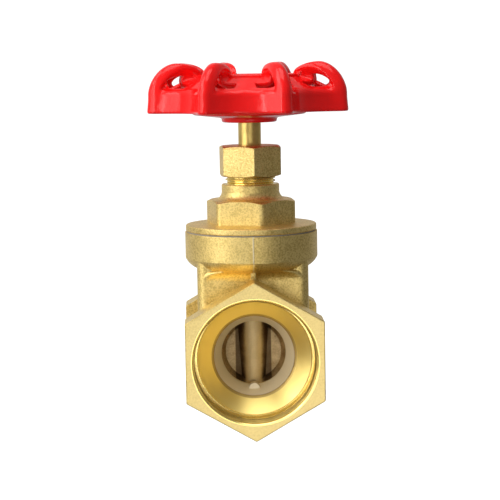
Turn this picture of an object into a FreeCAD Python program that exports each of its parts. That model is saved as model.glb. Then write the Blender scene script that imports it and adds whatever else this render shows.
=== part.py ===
# Threaded gate valve with a non-rising stem, in millimetres.
# The origin is where the pipe axis (Y) crosses the stem axis (Z, up). The wedge is shut.
import FreeCAD, Part
import Sketcher
import math
import os
import re

Vector = FreeCAD.Vector
doc = FreeCAD.newDocument("GateValve")

# Driving dimensions: name, value (mm, degrees or a count), meaning.
SIZES = [
    ("faceToFace", 76.0, "length of the body between its two pipe faces"),
    ("portFlats", 67.0, "hexagon ends, across flats"),
    ("hexLength", 17.0, "length of each hexagon end"),
    ("hexEdgeRound", 1.2, "cast rounding along the hexagons' six edges"),
    ("endFaceRound", 0.5, "rounding round the pipe faces"),
    ("threadRadius", 29.8, "major radius of the pipe thread"),
    ("threadDepth", 12.0, "depth of the threaded wall from the pipe face"),
    ("rimChamfer", 0.6, "chamfer at the mouth of the pipe thread"),
    ("bowlMouth", 27.6, "radius where the turned bowl starts, behind the thread"),
    ("bowlRadius", 20.9, "radius of the bowl at its floor"),
    ("bowlDepth", 18.5, "depth of the bowl floor from the pipe face"),
    ("shoulderRadius", 19.7, "radius where the cast passage starts in the bowl floor"),
    ("waterwayRadius", 15.9, "radius of the waterway at the seats"),
    ("chamberWidth", 54.4, "width of the wedge chamber outside"),
    ("chamberRound", 4.5, "rounding of the chamber's outer corners"),
    ("wall", 4.0, "wall of the chamber"),
    ("collarRadius", 32.8, "radius of the collar that carries the bonnet"),
    ("collarTop", 59.8, "height of the collar's top face"),
    ("collarHeight", 12.7, "height of the collar, down to its rounded underside"),
    ("collarUnderside", 5.3, "height of that underside, down to the chamber"),
    ("collarUndersideRound", 10.0, "radius of that underside's hollow"),
    ("collarRootRadius", 26.6, "radius where the collar leaves the chamber"),
    ("throatHeight", 4.6, "height of the hollow flare under the collar"),
    ("throatSink", 0.8, "how far that flare reaches up into the collar"),
    ("ribWidth", 2.4, "width of the rib over the hexagon's top corner"),
    ("ribDepth", 3.4, "how far that rib stands out of the chamber"),
    ("seamWidth", 0.5, "width of the casting seam on the collar"),
    ("seamHeight", 0.22, "how far the seam stands proud"),
    ("seatRingRadius", 20.0, "outer radius of the body's seat rings"),
    ("seatHalf", 8.0, "half the distance between the seats, on the pipe axis"),
    ("seatSlope", 3.0, "slope of each seat from upright, degrees"),
    ("seatGap", 0.05, "gap between each seat and the shut wedge"),
    ("guideThickness", 3.0, "thickness of the two guide ribs in the chamber"),
    ("guideReach", 3.8, "how far the guide ribs stand in from the chamber wall"),
    ("guideBottom", -8.0, "height of the guide ribs' lower ends"),
    ("lugRadius", 2.6, "rounding of the cast lug at the bottom of the waterway"),
    ("lugHeight", 1.3, "how far the lug rises into the waterway"),
    ("lugLength", 5.0, "length of the lug along the pipe"),
    ("bonnetThreadRadius", 27.0, "radius of the bonnet's screwed joint in the collar"),
    ("bonnetThreadDepth", 9.8, "depth of that joint below the collar's top face"),
    ("spigotLift", 0.6, "gap under the bonnet's spigot"),
    ("screwGap", 0.1, "radial gap of the bonnet's and packing nut's screwed joints"),
    ("gasketThickness", 0.6, "bonnet gasket"),
    ("gasketInset", 0.9, "how far the gasket's edge sits inside the collar's edge"),
    ("flangeRadius", 32.4, "radius of the bonnet's flange"),
    ("flangeRim", 3.0, "height of the flange's turned rim"),
    ("flangeRise", 0.8, "rise of the flange's top from the rim to the hexagon"),
    ("bonnetFlats", 40.0, "bonnet hexagon, across flats"),
    ("bonnetTurn", 12.9, "turn of the bonnet hexagon's front corner to the right, degrees"),
    ("bonnetHexRise", 15.2, "bonnet hexagon's top, above the flange's underside"),
    ("bonnetHexChamfer", 1.9, "drop of the chamfer at that hexagon's corners"),
    ("bonnetHexRound", 3.4, "rounding of the bonnet hexagon's six edges"),
    ("neckRadius", 14.3, "radius of the cast neck above the bonnet hexagon"),
    ("neckFlare", 3.8, "height of the flare between the hexagon and the neck"),
    ("neckFlareRound", 4.3, "radius of that flare"),
    ("neckHeight", 3.8, "height of the cast neck above the flare"),
    ("glandThreadRadius", 12.4, "major radius of the packing nut's thread on the neck"),
    ("glandThreadCore", 11.5, "core radius of that thread"),
    ("glandLead", 1.75, "lead of that right-hand thread"),
    ("glandThreadStart", 1.4, "how far above the neck that thread starts"),
    ("glandEase", 0.06, "gap each side of that thread's ridge"),
    ("glandThreadLength", 10.8, "length of the threaded neck"),
    ("domeRadius", 15.5, "radius of the room for the raised wedge in the bonnet"),
    ("domeRoof", 5.0, "thickness between that room's ceiling and the shelf above"),
    ("domeSlope", 4.5, "height over which the room closes in below its ceiling"),
    ("domeSkirtWall", 4.5, "wall of the bonnet's spigot"),
    ("shelfRise", 15.6, "shelf that carries the stem's collar, above the flange's underside"),
    ("boxRadius", 8.6, "radius of the stuffing box"),
    ("boxGap", 0.1, "radial gap of the washers, packing and gland in the box"),
    ("stemRadius", 5.6, "radius of the stem's plain shank"),
    ("stemGap", 0.06, "radial gap round the stem in the washers, packing and gland"),
    ("stemBoreGap", 0.15, "radial gap round the stem in the bonnet and packing nut"),
    ("stemCollarRadius", 8.2, "radius of the stem's thrust collar"),
    ("stemCollarHeight", 3.0, "height of the stem's thrust collar"),
    ("thrustGap", 0.05, "end play above and below the thrust collar"),
    ("washerThickness", 1.0, "thrust washers"),
    ("packingHeight", 3.0, "height of each packing ring"),
    ("packingCount", 3.0, "number of packing rings"),
    ("glandFlange", 10.6, "radius of the gland follower's flange"),
    ("glandFlangeHeight", 1.9, "height of that flange"),
    ("glandLift", 0.6, "gap left to tighten, between the gland's flange and the neck"),
    ("nutFlats", 28.5, "packing nut, across flats"),
    ("nutTurn", 5.65, "turn of the packing nut's front corner to the right, degrees"),
    ("nutLift", 3.8, "gap between the neck and the packing nut's underside"),
    ("nutRoof", 5.6, "thickness of the packing nut over the gland"),
    ("nutChamfer", 1.3, "drop of the packing nut's chamfer at its corners"),
    ("screwRadius", 5.0, "major radius of the stem's lifting thread"),
    ("screwCore", 3.5, "core radius of that thread"),
    ("screwLead", 3.0, "lead of that left-hand thread"),
    ("screwGapRadial", 0.2, "radial gap in the lifting thread"),
    ("screwEase", 0.15, "gap each side of the lifting thread's ridge"),
    ("screwBottom", 18.5, "height of the stem's lower end"),
    ("screwBelow", 7.0, "how far below the shelf the lifting thread meets the shank"),
    ("threadCrest", 0.15, "half the width of a thread's ridge at its crest, as a share of its lead"),
    ("threadFoot", 0.33, "the same at the ridge's foot"),
    ("threadSink", 0.25, "how far the ridge's foot starts inside the core"),
    ("tangSide", 7.9, "square end of the stem, across flats"),
    ("tangGap", 0.08, "gap each side between the square and the wheel"),
    ("wheelThreadRadius", 3.9, "radius of the stem's threaded top end"),
    ("stemProud", 2.4, "how far the stem stands out of the wheel's nut"),
    ("wedgeRadius", 19.8, "radius of the wedge's disc"),
    ("wedgeTop", 30.0, "height of the wedge's boss, shut"),
    ("wedgeThreadTurns", 5.0, "turns of the lifting thread inside the boss"),
    ("bossBottom", -18.0, "height of the boss's lower end, shut"),
    ("bossInset", 0.25, "how far the boss stays behind the wedge's sealing faces"),
    ("recessMouth", 16.1, "radius of the recess in the wedge's face, at its mouth"),
    ("recessFloor", 13.8, "radius of the recess at its floor"),
    ("webHalf", 4.0, "half the thickness of the web between the two recesses"),
    ("wingLow", -3.0, "height of the guide wings' lower ends, shut"),
    ("wingHigh", 13.0, "height of the guide wings' upper ends, shut"),
    ("wingHalf", 5.0, "half the thickness of the guide wings"),
    ("guideGap", 0.4, "gap each side between a guide rib and its slot"),
    ("wingGap", 0.6, "gap between a wing and the chamber wall"),
    ("wheelLift", 16.6, "gap between the packing nut and the level of the handwheel's lower edge"),
    ("wheelRadius", 52.1, "radius of the handwheel over its lobes"),
    ("valleyRadius", 41.5, "radius of the handwheel between two lobes"),
    ("scallopRadius", 24.0, "radius of the hollow between two lobes"),
    ("lobeCount", 8.0, "number of lobes"),
    ("wheelTurn", -4.0, "turn of the handwheel's front hollow to the right, degrees"),
    ("rimWall", 3.4, "wall of the handwheel's rim"),
    ("skirtHeight", 10.4, "height of the rim between two lobes"),
    ("crownHeight", 18.4, "height of the ring round the handwheel's cup"),
    ("crownRadius", 28.2, "outer radius of that ring"),
    ("cupRadius", 24.7, "inner radius of the cup"),
    ("cupFloor", 4.6, "height of the cup's floor"),
    ("ridgeHeight", 24.2, "height of the ridges over the lobes"),
    ("ridgeWidth", 8.0, "width of the ridges"),
    ("noseRound", 1.8, "rounding of the lobes' upright edges"),
    ("lobeHollowRadius", 6.0, "radius of the hollow under each lobe"),
    ("lobeHollowInset", 2.0, "how far that hollow's middle lies inside the valley radius"),
    ("windowSpoke", 7.9, "width of the spoke between two windows"),
    ("windowWidth", 5.4, "width of each window"),
    ("windowBow", 4.3, "radius of each window's rounded ends"),
    ("windowInner", 30.6, "radius where the windows start"),
    ("windowOuter", 38.4, "radius where the windows end"),
    ("hubRadius", 13.7, "radius of the handwheel's hub"),
    ("hubDrop", 5.1, "how far the hub reaches below the rim"),
    ("webDrop", 1.2, "how far the cup's underside reaches below the rim at the wall"),
    ("plateRadius", 21.0, "radius of the name plate"),
    ("plateThickness", 0.6, "thickness of the name plate"),
    ("springThickness", 1.8, "thickness of the spring washer"),
    ("springRadius", 7.0, "outer radius of the spring washer"),
    ("springSlit", 1.2, "width of the spring washer's cut"),
    ("wheelNutFlats", 13.0, "nut on top of the stem, across flats"),
    ("wheelNutHeight", 6.5, "height of that nut"),
    ("wheelNutTurn", 10.0, "turn of that nut's front corner to the right, degrees"),
    ("wheelNutChamfer", 0.9, "drop of that nut's chamfer at its corners"),
    ("wheelNutGap", 0.1, "radial gap of the plate, washer and nut round the stem"),
    ("edgeBreak", 0.4, "small chamfers on turned edges"),
    ("chamferInset", 0.25, "how far inside a nut's flats its chamfer starts"),
    ("overcut", 1.0, "how far a cut reaches past the face that it opens"),
]

sheet = doc.addObject("Spreadsheet::Sheet", "Sizes")
for row, (alias, number, meaning) in enumerate(SIZES, start=1):
    sheet.set(f"A{row}", alias)
    sheet.set(f"B{row}", str(number))
    sheet.set(f"C{row}", meaning)
    sheet.setAlias(f"B{row}", alias)
doc.recompute()

# Places that follow from the sizes, as expressions of them. Each may use those above it.
DERIVED = {
    "halfLength": "(faceToFace / 2)",
    "chamberDepth": "(faceToFace / 2 - hexLength)",
    "chamberHalf": "(chamberWidth / 2)",
    "innerHalf": "(chamberWidth / 2 - wall)",
    "innerDepth": "(chamberDepth - wall)",
    "portApex": "(portFlats / sqrt(3))",
    "collarBottom": "(collarTop - collarHeight)",
    "collarRoot": "(collarBottom - collarUnderside)",
    "blockTop": "(collarTop - gasketInset - overcut)",
    "jointBottom": "(collarTop - bonnetThreadDepth)",
    "flangeBottom": "(collarTop + gasketThickness)",
    "flangeTop": "(flangeBottom + flangeRim)",
    "hexBottom": "(flangeTop + flangeRise)",
    "spigotRadius": "(bonnetThreadRadius - screwGap)",
    "spigotBottom": "(jointBottom + spigotLift)",
    "bonnetHexTop": "(flangeBottom + bonnetHexRise)",
    "neckFlareTop": "(bonnetHexTop + neckFlare)",
    "neckTop": "(neckFlareTop + neckHeight)",
    "glandThreadTop": "(neckTop + glandThreadLength)",
    "shelfHeight": "(flangeBottom + shelfRise)",
    "domeTop": "(shelfHeight - domeRoof)",
    "domeShoulder": "(domeTop - domeSlope)",
    "screwTop": "(shelfHeight - screwBelow)",
    "thrustLow": "(shelfHeight + washerThickness + thrustGap)",
    "thrustHigh": "(thrustLow + stemCollarHeight)",
    "upperWasher": "(thrustHigh + thrustGap)",
    "packingLow": "(upperWasher + washerThickness)",
    "glandLow": "(packingLow + packingHeight * packingCount)",
    "glandFlangeLow": "(glandThreadTop + glandLift)",
    "glandTop": "(glandFlangeLow + glandFlangeHeight)",
    "nutBottom": "(neckTop + nutLift)",
    "nutTop": "(glandTop + nutRoof)",
    "skirtBottom": "(nutTop + wheelLift)",
    "hubTop": "(skirtBottom + cupFloor)",
    "hubBottom": "(skirtBottom - hubDrop)",
    "plateTop": "(hubTop + plateThickness)",
    "springTop": "(plateTop + springThickness)",
    "wheelNutTop": "(springTop + wheelNutHeight)",
    "stemTop": "(wheelNutTop + stemProud)",
    "wheelAngle": "(180 / lobeCount + wheelTurn)",
}
ALIAS = re.compile(r"\b(" + "|".join(alias for alias, number, meaning in SIZES) + r")\b")
subParts = []


def bound(text):
    """The expression with every derived place written out, and every size written as the sheet's own cell."""
    text = str(text)
    for name, meaning in reversed(DERIVED.items()):
        text = re.sub(rf"\b{name}\b", meaning, text)
    return ALIAS.sub(r"Sizes.\1", text)


def value(text):
    return float(sheet.evalExpression(bound(text)))


def screwThread(body, kind, name, core, crest, lead, low, turns, ease="0", left=True):
    """A helical ridge or groove about the stem axis: a trapezoid section, first centred on the height low."""
    before = volumeOf(body)
    foot, tip = f"(threadFoot * {lead} + {ease})", f"(threadCrest * {lead} + {ease})"
    section = outline(body, name + "Section", "XZ_Plane", [
        (f"{core} - threadSink", f"{low} - {foot}"), (crest, f"{low} - {tip}"),
        (crest, f"{low} + {tip}"), (f"{core} - threadSink", f"{low} + {foot}")])
    made = feature(body, kind, name, section)
    made.ReferenceAxis = (section, ["V_Axis"])
    made.Mode = "pitch-turns-angle"
    made.LeftHanded = left
    made.setExpression("Pitch", bound(lead))
    made.setExpression("Turns", bound(turns))
    doc.recompute()
    confirm(body, made, before, kind)
    return made


def slopeAt(height):
    """Half the distance between the two seats at a height, as an expression."""
    return f"(seatHalf + ({height}) * tan(seatSlope * 1 deg))"


def around(radius, degrees):
    """A point on a circle about the stem axis; 0 degrees is the front, and positive turns to the right."""
    return f"({radius}) * sin(({degrees}) * 1 deg)", f"-({radius}) * cos(({degrees}) * 1 deg)"


def newBody(name):
    body = doc.addObject("PartDesign::Body", name)
    body.Label = name
    subParts.append(body)
    return body


def newSketch(body, name, plane, offset=None):
    sketch = body.newObject("Sketcher::SketchObject", name)
    support = [part for part in body.Origin.OriginFeatures if part.Role == plane][0]
    sketch.AttachmentSupport = (support, [""])
    sketch.MapMode = "FlatFace"
    if offset:
        sketch.setExpression("AttachmentOffset.Base.z", bound(offset))
    return sketch


def bend(start, end, radius):
    """The middle point of an arc from start to end; a negative radius bulges to the right of the way."""
    middle = (start + end) / 2
    half = (end - start).Length / 2
    rise = abs(radius) - math.sqrt(max(radius * radius - half * half, 0.0))
    across = Vector(-(end - start).y, (end - start).x, 0).normalize()
    return middle + across * math.copysign(rise, radius)


def outline(body, name, plane, corners, offset=None, closed=True):
    """A closed outline through corners given as expressions (across, up).

    A third value makes the stretch from that corner to the next an arc of that radius; a leading
    minus sign bulges it to the right of the way. "half" makes a half circle on a level chord, bulging left.
    """
    sketch = newSketch(body, name, plane, offset)
    points = [Vector(value(corner[0]), value(corner[1]), 0) for corner in corners]
    count = len(corners)
    stretches = count if closed else count - 1
    for index, corner in enumerate(corners[:stretches]):
        start, end = points[index], points[(index + 1) % count]
        if len(corner) == 3:
            radius = (end - start).Length / 2 if corner[2] == "half" else value(corner[2])
            sketch.addGeometry(Part.Arc(start, bend(start, end, radius), end), False)
        else:
            sketch.addGeometry(Part.LineSegment(start, end), False)
    ends = []
    for index in range(stretches):
        first = (sketch.getPoint(index, 1) - points[index]).Length < 1e-6
        ends.append((1, 2) if first else (2, 1))
    for index in range(count if closed else count - 2):
        following = (index + 1) % count
        sketch.addConstraint(
            Sketcher.Constraint("Coincident", index, ends[index][1], following, ends[following][0]))
    for index, corner in enumerate(corners):
        holder, place = (index, ends[index][0]) if index < stretches else (index - 1, ends[index - 1][1])
        for kind, text in (("DistanceX", corner[0]), ("DistanceY", corner[1])):
            number = sketch.addConstraint(Sketcher.Constraint(kind, -1, 1, holder, place, value(text)))
            sketch.setExpression(f"Constraints[{number}]", bound(text))
        if len(corner) == 3 and corner[2] == "half":
            number = sketch.addConstraint(Sketcher.Constraint("DistanceY", -1, 1, index, 3, points[index].y))
            sketch.setExpression(f"Constraints[{number}]", bound(corner[1]))
        elif len(corner) == 3:
            radius = abs(value(corner[2]))
            number = sketch.addConstraint(Sketcher.Constraint("Radius", index, radius))
            sketch.setExpression(f"Constraints[{number}]", bound(f"abs({corner[2]})"))
    if sketch.solve() != 0:
        raise RuntimeError(f"{body.Label}.{name}: the outline does not solve")
    return sketch


def path(body, name, plane, corners, offset=None):
    """The same without the last stretch, for sweeping along."""
    return outline(body, name, plane, corners, offset, closed=False)


def circles(body, name, plane, rings, offset=None):
    """Circles given as expressions (across, up, radius)."""
    sketch = newSketch(body, name, plane, offset)
    for index, (across, up, radius) in enumerate(rings):
        centre = Vector(value(across), value(up), 0)
        sketch.addGeometry(Part.Circle(centre, Vector(0, 0, 1), value(radius)), False)
        number = sketch.addConstraint(Sketcher.Constraint("Radius", index, value(radius)))
        sketch.setExpression(f"Constraints[{number}]", bound(radius))
        for kind, text, place in (("DistanceX", across, centre.x), ("DistanceY", up, centre.y)):
            number = sketch.addConstraint(Sketcher.Constraint(kind, -1, 1, index, 3, place))
            sketch.setExpression(f"Constraints[{number}]", bound(text))
    return sketch


def feature(body, kind, name, sketch):
    made = body.newObject("PartDesign::" + kind, name)
    made.Profile = sketch
    sketch.Visibility = False
    return made


def straight(body, kind, name, sketch, length, symmetric=False, reversed_=False):
    """A pad or a pocket; compares the volume before and after, so that none is empty."""
    before = volumeOf(body)
    made = feature(body, kind, name, sketch)
    made.SideType = "Symmetric" if symmetric else "One side"
    made.Reversed = reversed_
    made.setExpression("Length", bound(length))
    doc.recompute()
    confirm(body, made, before, kind)
    return made


def turned(body, kind, name, sketch, axis="V_Axis"):
    """A revolution or a groove of a full turn about the sketch's own axis."""
    before = volumeOf(body)
    made = feature(body, kind, name, sketch)
    made.ReferenceAxis = (sketch, [axis])
    made.Angle = 360
    doc.recompute()
    confirm(body, made, before, kind)
    return made


def volumeOf(body):
    return 0.0 if body.Shape.isNull() else body.Shape.Volume


def confirm(body, made, before, kind):
    """Stops the build when a feature failed, or did not add or take away material as its kind says."""
    removes = kind in ("Pocket", "Groove", "SubtractiveHelix")
    change = volumeOf(body) - before
    if not made.isValid() or (change >= -1e-6 if removes else change <= 1e-6):
        raise RuntimeError(f"{body.Label}.{made.Name}: {made.getStatusString()}, change {change:.3f}")


def pattern(body, name, made, count):
    """Repeats a feature evenly about the stem axis."""
    before = volumeOf(body)
    repeated = body.newObject("PartDesign::PolarPattern", name)
    repeated.Originals = [made]
    axis = [part for part in body.Origin.OriginFeatures if part.Role == "Z_Axis"][0]
    repeated.Axis = (axis, [""])
    repeated.Angle = 360
    repeated.setExpression("Occurrences", bound(count))
    body.Tip = repeated
    doc.recompute()
    if not repeated.isValid() or abs(volumeOf(body) - before) < 1e-6:
        raise RuntimeError(f"{body.Label}.{name}: {repeated.getStatusString()}")
    return repeated


def rounded(body, name, kind, size, chosen):
    """A fillet or a chamfer on the edges of the tip that the test picks."""
    tip = body.Tip
    edges = [f"Edge{index}" for index, edge in enumerate(tip.Shape.Edges, start=1) if chosen(edge)]
    if not edges:
        raise RuntimeError(f"{body.Label}.{name}: no edge found")
    made = body.newObject("PartDesign::" + kind, name)
    made.Base = (tip, edges)
    made.setExpression("Radius" if kind == "Fillet" else "Size", bound(size))
    doc.recompute()
    if not made.isValid() or not made.Shape.isValid():
        raise RuntimeError(f"{body.Label}.{name}: {made.getStatusString()}")
    return made


def isUpright(edge):
    return isStraight(edge) and abs(abs(edge.tangentAt(edge.FirstParameter).z) - 1) < 1e-6


def isStraight(edge):
    return edge.Curve.TypeId == "Part::GeomLine"


def hexagon(flats, degrees):
    """Corners of a hexagon about the stem axis, one corner turned that far from the front."""
    return [around(f"({flats}) / sqrt(3)", f"{degrees} + {60 * corner}") for corner in range(6)]


def ringPart(name, inner, outer, low, high):
    """A plain ring about the stem axis."""
    body = newBody(name)
    section = outline(body, name + "Section", "XZ_Plane",
                      [(inner, low), (outer, low), (outer, high), (inner, high)])
    turned(body, "Revolution", name + "Ring", section)
    return body


def makeBody():
    """The cast body: chamber, collar, two hexagon ends, seats and waterway."""
    body = newBody("body")
    block = outline(body, "ChamberOutline", "XZ_Plane", [
        ("-chamberHalf", "0"), ("-chamberHalf", "blockTop"), ("chamberHalf", "blockTop"),
        ("chamberHalf", "0", "half")])
    straight(body, "Pad", "Chamber", block, "2 * chamberDepth", symmetric=True)
    depth, top = value("chamberDepth"), value("blockTop")
    rounded(body, "ChamberCorners", "Fillet", "chamberRound", lambda edge: all(
        abs(abs(vertex.Y) - depth) < 1e-6 for vertex in edge.Vertexes) and edge.CenterOfMass.z < top - 1e-3)
    collar = outline(body, "CollarOutline", "XZ_Plane", [
        ("0", "collarRoot"), ("collarRootRadius", "collarRoot", "-collarUndersideRound"),
        ("collarRadius", "collarBottom"), ("collarRadius", "collarTop"), ("0", "collarTop")])
    turned(body, "Revolution", "Collar", collar)
    makeThroat(body)
    makeEnds(body)
    makeTrim(body)
    makeCavity(body)
    makeSeats(body)
    makeWaterway(body)
    makeGuides(body)
    makeLugs(body)


def roundedBox(halfWidth, halfDepth, corner):
    """Corners of a rectangle about the stem axis with rounded corners."""
    wide, deep, arc = f"({halfWidth} - {corner})", f"({halfDepth} - {corner})", f"-{corner}"
    return [(f"-{wide}", f"-{halfDepth}"), (wide, f"-{halfDepth}", arc), (halfWidth, f"-{deep}"),
            (halfWidth, deep, arc), (wide, halfDepth), (f"-{wide}", halfDepth, arc), (f"-{halfWidth}", deep),
            (f"-{halfWidth}", f"-{deep}", arc)]


def makeThroat(body):
    """The hollow flare from the chamber's flat faces out to the collar: a quarter ellipse in side view."""
    sections = []
    for step, share in enumerate((0, 0.5, 0.8, 0.95, 1)):
        growth = 1 - math.sqrt(1 - share * share)
        depth = f"(chamberDepth + (collarRootRadius - chamberDepth) * {growth})"
        corner = f"(chamberRound + ({depth} - overcut - chamberRound) * {growth})"
        height = f"collarRoot + throatSink - (throatHeight + throatSink) * (1 - {share})"
        sections.append(outline(body, f"ThroatSection{step + 1}", "XY_Plane",
                                roundedBox("chamberHalf", depth, corner), height))
    before = volumeOf(body)
    throat = feature(body, "AdditiveLoft", "Throat", sections[0])
    throat.Sections = sections[1:]
    doc.recompute()
    confirm(body, throat, before, "AdditiveLoft")


def makeEnds(body):
    """The two hexagon ends, a corner upwards."""
    corners = [(f"portApex * sin({turn} deg)", f"portApex * cos({turn} deg)") for turn in range(0, 360, 60)]
    for name, start, back in (("FrontEnd", "chamberDepth", False), ("RearEnd", "-chamberDepth", True)):
        section = outline(body, name + "Outline", "XZ_Plane", corners, start)
        straight(body, "Pad", name, section, "hexLength", reversed_=back)
    reach = value("portApex")
    rounded(body, "EndCorners", "Fillet", "hexEdgeRound", lambda edge: isStraight(edge)
            and abs(abs(edge.tangentAt(edge.FirstParameter).y) - 1) < 1e-6
            and abs(math.hypot(edge.CenterOfMass.x, edge.CenterOfMass.z) - reach) < 1e-3)
    face = value("halfLength")
    rounded(body, "EndFaces", "Fillet", "endFaceRound", lambda edge: all(
        abs(abs(vertex.Y) - face) < 1e-6 for vertex in edge.Vertexes))


def makeCavity(body):
    """The chamber's inside, and the screwed joint for the bonnet in the collar."""
    inside = outline(body, "CavityOutline", "XZ_Plane", [
        ("-innerHalf", "0"), ("-innerHalf", "jointBottom"),
        ("innerHalf", "jointBottom"), ("innerHalf", "0", "half")])
    straight(body, "Pocket", "Cavity", inside, "2 * innerDepth", symmetric=True)
    joint = outline(body, "BonnetJointOutline", "XZ_Plane", [
        ("0", "jointBottom"), ("bonnetThreadRadius", "jointBottom"),
        ("bonnetThreadRadius", "collarTop - edgeBreak"),
        ("bonnetThreadRadius + edgeBreak + overcut", "collarTop + overcut"), ("0", "collarTop + overcut")])
    turned(body, "Groove", "BonnetJoint", joint)


def makeSeats(body):
    """The two seat rings, cut to the slope of the wedge."""
    disc = circles(body, "SeatCircle", "XZ_Plane", [("0", "0", "seatRingRadius")])
    straight(body, "Pad", "SeatRings", disc, "2 * innerDepth + 1", symmetric=True)
    for side, name in ((1, "Front"), (-1, "Rear")):
        room = circles(body, name + "SeatPlane", "XZ_Plane", [("0", "0", "seatRingRadius + 0.6")],
                       f"{side} * (seatHalf + seatGap)")
        room.AttachmentOffset = FreeCAD.Placement(room.AttachmentOffset.Base, FreeCAD.Rotation(1, 0, 0, 1))
        room.setExpression("AttachmentOffset.Rotation.Angle", bound(f"{side} * seatSlope * 1 deg"))
        straight(body, "Pocket", name + "Seat", room, "seatHalf + 2", reversed_=side < 0)


def makeWaterway(body):
    """Each end's thread wall, turned bowl and cast passage, down to the seat."""
    for side, name in (("-", "Front"), ("", "Rear")):
        def inside(depth, out=side):
            return f"{out}(faceToFace / 2 - ({depth}))"
        section = outline(body, name + "Waterway", "YZ_Plane", [
            ("0", "0"), (inside("-1"), "0"), (inside("-1"), "threadRadius + rimChamfer + 1"),
            (inside("rimChamfer"), "threadRadius"), (inside("threadDepth"), "threadRadius"),
            (inside("threadDepth"), "bowlMouth + 0.5"), (inside("threadDepth + 0.6"), "bowlMouth"),
            (inside("bowlDepth"), "bowlRadius"), (inside("bowlDepth + 0.5"), "shoulderRadius + 0.5"),
            (inside("bowlDepth + 1"), "shoulderRadius"),
            (f"{side}(seatHalf + 1.5)", "waterwayRadius"), ("0", "waterwayRadius")])
        turned(body, "Groove", name + "Bore", section, "H_Axis")


def makeGuides(body):
    """The upright ribs that keep the wedge from turning."""
    for side, name in (("-", "Left"), ("", "Right")):
        near, far = f"{side}(innerHalf - guideReach)", f"{side}(innerHalf + wall / 2)"
        top = "jointBottom"
        section = outline(body, name + "GuideOutline", "XZ_Plane", [
            (near, "guideBottom"), (far, "guideBottom"), (far, top), (near, top)])
        straight(body, "Pad", name + "Guide", section, "guideThickness", symmetric=True)


def makeTrim(body):
    """The upright ribs over the hexagon ends, and the casting seam on the collar."""
    reach = "(chamberDepth + ribDepth)"
    rib = outline(body, "RibOutline", "YZ_Plane", [
        (f"-{reach}", "portApex - 1.5"), (reach, "portApex - 1.5"), (reach, "collarRoot + 1.5"),
        (f"-{reach}", "collarRoot + 1.5")])
    straight(body, "Pad", "Ribs", rib, "ribWidth", symmetric=True)
    for side, name in (("-", "Front"), ("", "Rear")):
        seam = outline(body, name + "SeamOutline", "YZ_Plane", [
            (f"{side}(collarRadius - 0.5)", "collarBottom - 0.4"),
            (f"{side}(collarRadius + seamHeight)", "collarBottom + 0.4"),
            (f"{side}(collarRadius + seamHeight)", "collarTop - 0.4"),
            (f"{side}(collarRadius - 0.5)", "collarTop - 0.2")])
        straight(body, "Pad", name + "Seam", seam, "seamWidth", symmetric=True)


def makeLugs(body):
    """The small cast lugs at the bottom of the waterway, beside the seats."""
    for side, name in ((1, "Front"), (-1, "Rear")):
        lug = circles(body, name + "LugCircle", "XZ_Plane",
                      [("0", "lugHeight - lugRadius - waterwayRadius", "lugRadius")],
                      f"{side} * (seatHalf + 0.2)")
        straight(body, "Pad", name + "Lug", lug, "lugLength", reversed_=side < 0)


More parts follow.
